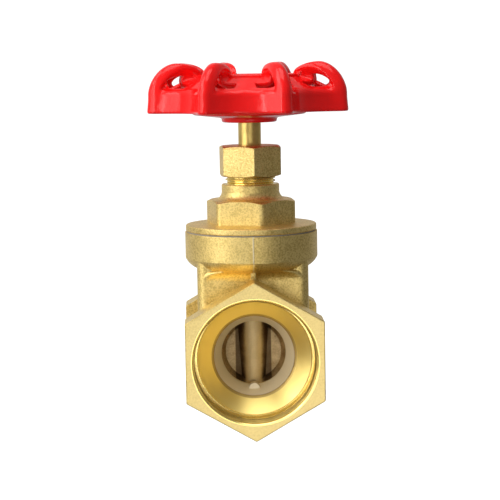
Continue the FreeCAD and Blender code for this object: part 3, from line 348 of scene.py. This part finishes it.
# The body: cast outside, faced at the ends, turned inside the ports, each zone a mask of depth and radius.
def castBody():
    finish = Finish("castBody")
    grain, tone = sandCast(finish)
    x, y, z = finish.x, finish.y, finish.z
    around = (x * x + z * z) ** 0.5
    depth = abs(y)
    zone = {name: band(depth, near, far) * band(around, inner, outer)
            for name, (near, far, inner, outer) in bodyZones.items()}
    thread, bowl, floor, passage = (zone[name] for name in ("thread", "bowl", "floor", "passage"))
    port = finish.node("Clamp", Value=thread + bowl + floor)
    face = (depth > portMouth() - bodyFinish["faceSkin"]) * (1 - port)
    seam = (abs(x) < bodyFinish["seamHalf"]) * (y < bodyFinish["seamFront"]) * (z > bodyFinish["seamLow"])
    colour = finish.mix(face * bodyFinish["faceShare"], tone, bodyFinish["face"])
    colour = finish.mix(port, colour, brass["turned"])
    # the passage's pale colour: pinkish oxide, brightened as painted light against its shade
    colour = finish.mix(passage, colour, bodyFinish["passage"])
    # painted shade: the groove darkened to dark brown
    colour = finish.mix(zone["groove"] * bodyFinish["grooveShare"], colour, bodyFinish["groove"])
    # painted highlight: a near-white line along the parting line
    colour = finish.mix(seam * bodyFinish["seamShare"], colour, bodyFinish["seam"])
    roughness = brass["castRough"] + (grain - 0.5) * brass["roughSpread"]
    roughness = roughness - face * bodyFinish["faceRough"] + passage * bodyFinish["passageRough"]
    roughness = roughness - thread * (brass["castRough"] - bodyFinish["threadRough"])
    roughness = roughness - (bowl - floor) * (brass["castRough"] - bodyFinish["bowlRough"])
    rings = finish.toolRings(depth + around, bodyFinish["rings"])
    relief = grain * (1 - port * bodyFinish["portSmooth"]) * (1 - face * bodyFinish["faceSmooth"])
    relief = relief * (1 - seam) + rings * port * bodyFinish["ringDepth"]
    return finish.shade(colour, roughness, finish.bump(relief, brass["grainDepth"], brass["edgeRound"]),
                        Metallic=1 - passage * bodyFinish["passageDull"],
                        Coat_Weight=brass["coat"], Coat_Roughness=brass["coatRough"])


neckThread = {"radius": 13.0, "low": 83.0, "high": 95.0, "pitch": 2.0, "depth": 1.6, "smoother": 0.24}


# Bonnet or nut: cast all over, and on the bonnet a threaded neck, whose ridges are a sine of the height.
def castPart(name, threaded):
    finish = Finish(name)
    grain, tone = sandCast(finish)
    roughness = brass["castRough"] + (grain - 0.5) * brass["roughSpread"]
    if threaded:
        around = (finish.x * finish.x + finish.y * finish.y) ** 0.5
        thread = (around < neckThread["radius"]) * band(finish.z, neckThread["low"], neckThread["high"])
        ridges = finish.z.apply("SINE", finish.z * (2 * math.pi / neckThread["pitch"]))
        tone = finish.mix(thread, tone, brass["turned"])
        roughness = roughness - thread * neckThread["smoother"]
        grain = grain * (1 - thread) + ridges * thread * neckThread["depth"]
    return finish.shade(tone, roughness, finish.bump(grain, brass["grainDepth"], brass["edgeRound"]),
                        Metallic=1.0, Coat_Weight=brass["coat"], Coat_Roughness=brass["coatRough"])


wedgeFinish = {
    # the hollow colour is painted shade, laid in the wedge's hollows by the ambient-occlusion mask
    "deep": (0.42, 0.29, 0.14), "light": (0.72, 0.54, 0.29), "hollow": (0.07, 0.035, 0.012),
    # the boss colour is a painted highlight on the upright boss, and the beside colour is painted shade in
    # the bands beside it
    "boss": (0.80, 0.62, 0.32), "beside": (0.06, 0.03, 0.012),
    "grain": 0.8, "grainDepth": 0.16, "cloud": 5, "toneSpan": (0.35, 0.65),
    "reach": 9, "openSpan": (0.2, 0.8), "rough": 0.55, "roughSpread": 0.15,
    # painted highlight on the boss: its share, then the boss's edge and how far forward its lit front begins
    "bossShare": 0.7, "bossEdge": (3.4, 4.8), "bossFront": 4.5,
    # painted shade beside the upright boss: its share, the inner and outer edges of its bands, and how high
    # they reach
    "shadeBesideBossShare": 0.8, "shadeBesideBossInner": (3.4, 5.8), "shadeBesideBossOuter": (8.6, 9.2), "shadeBesideBossHeight": 17,
}


# The wedge's coarse brown casting, with painted shade in its hollows and beside the upright boss, and a
# painted highlight on the boss.
def roughCast():
    finish = Finish("roughCast")
    grain, cloud = finish.noise(wedgeFinish["grain"], 3, 0.65), finish.noise(wedgeFinish["cloud"], 3)
    share = finish.smooth(grain * 0.5 + cloud * 0.5, *wedgeFinish["toneSpan"])
    tone = finish.mix(share, wedgeFinish["deep"], wedgeFinish["light"])
    # painted shade: near-black where the ambient-occlusion mask finds the wedge's hollows
    unshadedShare = finish.smooth(finish.hollows(wedgeFinish["reach"]), *wedgeFinish["openSpan"])
    tone = finish.mix(unshadedShare, wedgeFinish["hollow"], tone)
    side = abs(finish.x)
    # painted shade: dark bands beside the upright boss, between the inner and outer edges and within the
    # height
    beside = finish.smooth(side, *wedgeFinish["shadeBesideBossInner"])
    beside = beside * (1 - finish.smooth(side, *wedgeFinish["shadeBesideBossOuter"]))
    beside = beside * (abs(finish.z) < wedgeFinish["shadeBesideBossHeight"])
    # painted highlight: the boss's front lightened
    boss = (1 - finish.smooth(side, *wedgeFinish["bossEdge"])) * (abs(finish.y) > wedgeFinish["bossFront"])
    tone = finish.mix(boss * wedgeFinish["bossShare"], tone, wedgeFinish["boss"])
    tone = finish.mix(beside * wedgeFinish["shadeBesideBossShare"], tone, wedgeFinish["beside"])
    roughness = wedgeFinish["rough"] + (grain - 0.5) * wedgeFinish["roughSpread"]
    return finish.shade(tone, roughness, finish.bump(grain, wedgeFinish["grainDepth"], brass["edgeRound"]),
                        Metallic=1.0)


turning = {"cloud": 5, "rings": 4.0, "ringDepth": 0.02, "edgeRound": 0.2, "rough": 0.30, "roughSpread": 0.1}


# Turned brass: rings along the height, under a slow change between two tones.
def turnedBrass():
    finish = Finish("turnedBrass")
    rings = finish.toolRings(finish.z, turning["rings"])
    tone = finish.mix(finish.noise(turning["cloud"], 3), brass["turned"], brass["stem"])
    return finish.shade(tone, turning["rough"] + rings * turning["roughSpread"],
                        finish.bump(rings, turning["ringDepth"], turning["edgeRound"]), Metallic=1.0)


enamel = {
    "colour": (1.0, 0.009, 0.009), "shadow": (0.80, 0.005, 0.006),
    "shadowShare": 0.3, "toneSpan": (0.3, 0.8),
    "cloud": 9, "peel": 2.2, "slow": 6.5,  # sizes of the tone's clouds, the orange peel and the slow waves
    "peelShare": 0.2, "waveDepth": 0.30, "edgeRound": 0.8,
    "rough": 0.11, "roughSpread": 0.06, "coat": 0.15, "coatRough": 0.05, "specular": 0.24,
}


# Dipped enamel: two near reds, with slow waves and a little orange peel in the surface.
def redEnamel():
    finish = Finish("redEnamel")
    cloud = finish.noise(enamel["cloud"], 3)
    peel = finish.noise(enamel["peel"])
    slow = finish.noise(enamel["slow"], 1)
    share = finish.smooth(cloud, *enamel["toneSpan"]) * enamel["shadowShare"]
    tone = finish.mix(share, enamel["colour"], enamel["shadow"])
    waves = finish.bump(peel * enamel["peelShare"] + slow, enamel["waveDepth"], enamel["edgeRound"])
    return finish.shade(tone, enamel["rough"] + cloud * enamel["roughSpread"], waves,
                        Coat_Weight=enamel["coat"], Coat_Roughness=enamel["coatRough"],
                        Specular_IOR_Level=enamel["specular"])


smallParts = {  # finish, its two tones, size of the grain, roughness, metallic
    "bonnet_gasket": ("gasketFibre", (0.26, 0.25, 0.24), (0.38, 0.37, 0.35), 0.8, 0.8, 0.0),
    "wheel_nut": ("zincNut", (0.62, 0.62, 0.60), (0.74, 0.74, 0.72), 1.5, 0.32, 1.0),
    "spring_washer": ("zincWasher", (0.60, 0.60, 0.58), (0.72, 0.72, 0.70), 1.5, 0.32, 1.0),
    "name_plate": ("plateAluminium", (0.80, 0.80, 0.81), (0.88, 0.88, 0.89), 3, 0.3, 1.0),
    "the rest": ("sealingRing", (0.80, 0.80, 0.76), (0.90, 0.90, 0.87), 2.5, 0.5, 0.0),
}


# A plain finish: one noise moves the tone, the roughness and a shallow bump together.
def plainFinish(name, first, second, size, roughness, metallic):
    finish = Finish(name)
    grain = finish.noise(size, 3)
    return finish.shade(finish.mix(grain, first, second), roughness + (grain - 0.5) * 0.1,
                        finish.bump(grain, 0.02, 0.15), Metallic=metallic)


def dressNodes():
    finishes = {
        "body": castBody(),
        "bonnet": castPart("castBonnet", True),
        "packing_nut": castPart("castNut", False),
        "wedge": roughCast(),
        "stem": turnedBrass(),
        "gland_follower": turnedBrass(),
        "handwheel": redEnamel(),
    }
    finishes.update((name, plainFinish(*values)) for name, values in smallParts.items())
    for name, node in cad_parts.items():
        node.data.materials.clear()
        node.data.materials.append(finishes.get(name, finishes["the rest"]))


wheel = {  # heights are above the rim's lower edge
    "lobes": 8, "turn": 18.5,
    "noseRadius": 51.6, "valleyRadius": 41.5, "scallopRadius": 24.0, "noseBlend": 1.6,
    "skirtTop": 9.0, "edgeRound": 1.6, "edgeShare": 0.10, "climbPower": 1.15,
    "crownRadius": 27.4, "crownHeight": 17.3, "crownTop": 18.4, "crownRound": 0.9,
    "ridgeTopRadius": 37.7, "ridgeHeight": 24.2, "ridgeHalf": 4.7, "ridgeSquare": 1.8,
    "ridgeTopShare": 0.55,                  # the ridge's top lies this far from the skirt to the crown
    "widestSine": 0.9,                      # keeps a flank within a quarter turn of its ridge's middle
    "ridgeTaper": 0.38, "taperPower": 1.5,  # how much narrower a ridge is at the crown
    "dishStart": 0.10, "dishSpan": 0.82, "dishPower": 0.6,  # where the flanks are dished, as shares
    "spokeHalf": 4.0, "spokeRise": 0.7, "spokeSpread": 3.2,
    "windowLow": 0.27, "windowHigh": 0.63,  # shares of the way from the skirt's edge to the crown
    "windowRise": 0.37,                     # a window reaches no farther up the ridge's flank
    "rows": 30, "rowPower": 1.15,           # rows lie closer together at the skirt's upper edge
    "wall": 2.9,
    # the lip below the skirt: how far out, and how high
    "lip": [(0.5, 0.0), (0.6, 1.1), (0.5, 2.2), (0.35, 3.4), (0.2, 5.2), (0.0, 7.2)],
    # columns from a ridge's middle outwards: rise, then distance on the plain nose and on the dished flank
    "rise": [1.0, 0.995, 0.965, 0.88, 0.76, 0.63, 0.50, 0.36, 0.22, 0.10, 0.025, 0.0],
    "plain": [0.0, 0.34, 0.62, 0.82, 0.91, 0.97, 1.02, 1.06, 1.10, 1.16, 1.26, 1.42],
    "dished": [0.0, 0.36, 0.66, 0.93, 1.03, 0.98, 0.80, 0.60, 0.52, 0.60, 0.86, 1.30],
    "toValley": [0.10, 0.24, 0.42, 0.60, 0.78, 0.90],  # and then shares of the way to the valley
    "cupRadius": 24.7, "cupFloor": 4.6, "cupRound": 1.8, "wallRadius": 28.2,
    "webDrop": 1.2, "hubRadius": 13.7, "hubDrop": 5.1, "hubRise": 2.2, "boreHalf": 4.03,
}


# Height of the rim's lower edge: the CAD wheel's lowest point is the end of its hub.
def wheelBase():
    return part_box("handwheel")[0].z / mm + wheel["hubDrop"]


# Cosine and sine raised so that the quarter circle they draw turns into a quarter superellipse.
def superEllipse(angle, power):
    return np.abs(np.cos(angle)) ** (2 / power), np.abs(np.sin(angle)) ** (2 / power)


# Radius and height over a lobe's ridge, from the skirt (share 0) to the crown (share 1):
# a quarter superellipse up to the ridge's top and a quarter ellipse down from it.
def ridgeProfile(share):
    peak = wheel["ridgeTopShare"]
    outer = superEllipse(np.clip(share / peak, 0, 1) * np.pi / 2, wheel["ridgeSquare"])
    inner = superEllipse(np.clip((share - peak) / (1 - peak), 0, 1) * np.pi / 2, 2.0)
    top, high = wheel["ridgeTopRadius"], wheel["ridgeHeight"]
    radius = np.where(share < peak, top + (wheel["noseRadius"] - top) * outer[0],
                      top - (top - wheel["crownRadius"]) * inner[1])
    height = np.where(share < peak, wheel["skirtTop"] + (high - wheel["skirtTop"]) * outer[1],
                      wheel["crownHeight"] + (high - wheel["crownHeight"]) * inner[0])
    return radius, height


# Outline seen from above: the near side of a circle centred outside each valley, joined to the nose circle
# by a soft minimum, which is minus the log of a sum of exponentials.
def skirtRadius(fromValley):
    away = wheel["valleyRadius"] + wheel["scallopRadius"]
    reach = np.maximum(wheel["scallopRadius"] ** 2 - (away * np.sin(fromValley)) ** 2, 0)
    arc = away * np.cos(fromValley) - np.sqrt(reach)
    soft = wheel["noseBlend"]
    return -soft * np.log(np.exp(-arc / soft) + np.exp(-wheel["noseRadius"] / soft))


# Radius and height in a valley: a straight way in to the crown, under a rounded edge and a raised spoke
# whose height is a bell curve of the distance across it.
def valleyProfile(along, skirt, fromValley):
    radius = wheel["crownRadius"] + (skirt - wheel["crownRadius"]) * (1 - along)
    edge = wheel["skirtTop"] + wheel["edgeRound"] * np.sqrt(np.clip(along / wheel["edgeShare"], 0, 1))
    climb = (wheel["crownHeight"] - wheel["skirtTop"] - wheel["edgeRound"]) * along ** wheel["climbPower"]
    across = fromValley * radius
    spoke = wheel["spokeRise"] * np.exp(-(across / wheel["spokeSpread"]) ** 2) * np.sin(np.pi * along) ** 0.5
    return radius, edge + climb + spoke, across


# Columns from a valley's middle over the ridge to the next valley's middle. Each has its share of the
# ridge's rise, its distance from the ridge's middle on the plain nose and on the dished flank (as shares of
# the half width), its share of the way on to the valley, and its side.
def wheelColumns():
    names = ("rise", "plain", "dished", "toValley")
    rise, plain, dished, toValley = (np.array(wheel[name]) for name in names)
    beyond = np.zeros(len(toValley))
    way = np.concatenate([np.zeros(len(rise)), toValley])
    rise = np.concatenate([rise, beyond])
    plain = np.concatenate([plain, beyond + plain[-1]])
    dished = np.concatenate([dished, beyond + dished[-1]])
    last = len(way) - 1
    order = np.concatenate([np.arange(last, 0, -1), np.arange(last + 1), [last]])
    side = np.concatenate([-np.ones(last + 1), np.ones(last + 1)])
    way = way[order]
    way[-1] = 1.0  # the last column is the middle of the valley
    return rise[order], plain[order], dished[order], way, side


# The lobed shell: rows run from the lip up the skirt and over to the crown, columns run round the wheel.
# A point is a mix of the valley's profile and the ridge's by its column's rise; its angle comes from its
# distance to the ridge's middle, or from its share of the way to the valley.
def makeWheelRim():
    lip, lobes, pitch = np.array(wheel["lip"]), wheel["lobes"], np.pi / wheel["lobes"]
    share = np.linspace(0, 1, wheel["rows"]) ** wheel["rowPower"]
    rise, plain, dished, way, side = wheelColumns()
    rows, columns = len(lip) + len(share), len(rise)
    along = np.concatenate([np.zeros(len(lip)), share])[:, None]
    ridgeRadius, ridgeHeight = ridgeProfile(along)
    downFlank = np.clip((along - wheel["dishStart"]) / wheel["dishSpan"], 0, 1)
    hollow = np.sin(downFlank * np.pi) ** wheel["dishPower"]
    taper = 1 - wheel["ridgeTaper"] * along ** wheel["taperPower"]
    lateral = wheel["ridgeHalf"] * (plain + (dished - plain) * hollow) * taper
    flank = np.arcsin(np.clip(lateral / ridgeRadius, 0, wheel["widestSine"]))
    offset = side * (flank + (pitch - flank) * way)
    skirt = skirtRadius(pitch - np.abs(offset))
    radius, height, across = valleyProfile(along, skirt, pitch - np.abs(offset))
    noseRadius = skirt + (ridgeRadius - wheel["noseRadius"])
    radius = radius + (np.where(rise > 0, noseRadius, radius) - radius) * rise
    height = height + (ridgeHeight - height) * rise
    radius[:len(lip)] = skirt[:len(lip)] + lip[:, :1]
    height[:len(lip)] = lip[:, 1:]
    turns = np.radians(wheel["turn"]) + 2 * pitch * np.arange(lobes)
    angle = (offset[:, None, :] + turns[None, :, None]).reshape(rows, -1)
    radius, height, across = (np.tile(part, (1, lobes)) for part in (radius, height, across))
    points = np.stack([radius * np.cos(angle), radius * np.sin(angle), wheelBase() + height], axis=-1) * mm
    inWindow = (band(along, wheel["windowLow"], wheel["windowHigh"]) & (across > wheel["spokeHalf"])
                & (np.tile(rise, lobes)[None, :] < wheel["windowRise"]))
    corners = np.array(gridFaces(rows, columns * lobes))
    holed = inWindow.reshape(-1)[corners].all(axis=1)
    rim = newPiece("wheel_rim", points.reshape(-1, 3), corners[~holed].tolist())
    addModifier(rim, "SOLIDIFY", thickness=wheel["wall"] * mm, offset=-1.0, use_even_offset=False)
    addModifier(rim, "SUBSURF", levels=1, render_levels=1)
    return rim


dish = {
    "steps": 96, "roundSteps": 6, "bevel": 0.35,
    "floorRings": (7.0, 15.0),              # radii of the rings between the square bore and the cup's wall
    "tuck": 8.0,                            # the outer wall turns under inside the rim, from this height
    "edge": (0.6, 0.7), "cove": (1.0, 0.4), "slope": 0.1,
}


# The cup, its wall and the hub: a closed profile turned round the stem, with a square bore.
# The bore's radius at an angle is its half side over the larger of that angle's cosine and sine.
def makeWheelDish():
    cup, wall, floor, crown = wheel["cupRadius"], wheel["wallRadius"], wheel["cupFloor"], wheel["crownTop"]
    soft, bead, steps = wheel["cupRound"], wheel["crownRound"], dish["steps"]
    bend = np.linspace(0, np.pi / 2, dish["roundSteps"])
    cove = np.stack([cup - soft + soft * np.sin(bend), floor + soft - soft * np.cos(bend)], axis=-1)
    brow = np.stack([cup + bead - bead * np.cos(bend), crown - bead + bead * np.sin(bend)], axis=-1)
    back = np.stack([wall - bead + bead * np.sin(bend), crown - bead + bead * np.cos(bend)], axis=-1)
    hub, drop, web = wheel["hubRadius"], -wheel["hubDrop"], -wheel["webDrop"]
    (small, large), (out, down), slope = dish["edge"], dish["cove"], dish["slope"]
    neck = drop + wheel["hubRise"]
    under = [(wall, dish["tuck"]), (wall, web + small), (wall - large, web - slope),
             (hub + out, neck + slope), (hub, neck - down), (hub, drop + large), (hub - small, drop)]
    near, far = dish["floorRings"]
    profile = np.concatenate([[(near, floor), (far, floor)], cove, brow, back, under, [(near, drop)]])
    local = np.linspace(0, 2 * np.pi, steps, endpoint=False)
    angle = local + np.radians(wheel["turn"])
    bore = wheel["boreHalf"] / np.maximum(np.abs(np.cos(local)), np.abs(np.sin(local)))
    radius = np.concatenate([bore[None, :], profile[:, :1] * np.ones(steps), bore[None, :]])
    height = np.concatenate([[floor], profile[:, 1], [drop]])[:, None] + np.zeros(steps)
    points = np.stack([radius * np.cos(angle), radius * np.sin(angle), wheelBase() + height], axis=-1) * mm
    closing = np.array(gridFaces(2, steps))  # the bore's own wall joins the last row to the first
    closing = np.where(closing >= steps, closing - steps, closing + steps * (len(height) - 1))
    faces = gridFaces(len(height), steps) + closing.tolist()
    piece = newPiece("wheel_dish", points.reshape(-1, 3), faces)
    addModifier(piece, "BEVEL", width=dish["bevel"] * mm, segments=2, limit_method="ANGLE")
    return piece


def makeWheel():
    enamelled = redEnamel()
    for piece in (makeWheelRim(), makeWheelDish()):
        piece.data.materials.append(enamelled)
        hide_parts("handwheel")
        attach(piece, "stem_and_wheel")


portThread = {
    "radius": 29.8, "pitch": 2.309, "length": 10.6, "height": 0.6,
    "sink": 0.15,           # the ridge's foot lies this far inside the wall
    "start": 0.5, "halfWidth": 0.42,  # from the mouth in millimetres, and as a share of the pitch
    "stepsPerTurn": 96, "fade": 1.2, "leastFade": 0.05,  # the fade is an angle in radians
}


# A ridge wound inside a port: a triangle carried along a helix, its place along the pipe growing with the
# turn. The side is -1 for the front port and 1 for the rear one.
def makePortThread(name, side):
    turns = (portThread["length"] - portThread["pitch"]) / portThread["pitch"]
    angle = np.linspace(0, 2 * np.pi * turns, int(turns * portThread["stepsPerTurn"]))[:, None]
    half, sink = portThread["pitch"] * portThread["halfWidth"], portThread["sink"]
    profile = np.array([(sink, -half), (-portThread["height"], 0.0), (sink, half)])
    fromEnd = np.minimum(angle, angle[-1] - angle)
    fade = np.clip(fromEnd / portThread["fade"], portThread["leastFade"], 1)  # it runs out at both ends
    radius = portThread["radius"] + np.where(profile[:, 0] < 0, profile[:, 0] * fade, profile[:, 0])
    first = portMouth() - portThread["start"] - half
    depth = first - portThread["pitch"] * angle / (2 * np.pi) + profile[:, 1]
    points = np.stack([radius * np.cos(angle), side * depth, radius * np.sin(angle)], axis=-1)
    steps = len(angle)
    faces = gridFaces(steps, 3) + [[2, 1, 0], [3 * steps - 3, 3 * steps - 2, 3 * steps - 1]]
    if side < 0:
        faces = [corners[::-1] for corners in faces]  # mirrored, so turned to point outwards again
    ridge = newPiece(name, points.reshape(-1, 3) * mm, faces)
    ridge.data.materials.append(turnedBrass())
    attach(ridge, "valve_body")


makeCamera()
makeLights()
makeWorld()
makeFloor()
print("studio made")
dressNodes()
print("metal, gasket and rings dressed")
makeWheel()
print("handwheel made")
makePortThread("port_thread_front", -1)
makePortThread("port_thread_rear", 1)
print("port threads made")
bpy.context.scene.view_settings.view_transform = "Standard"
print("scene made")
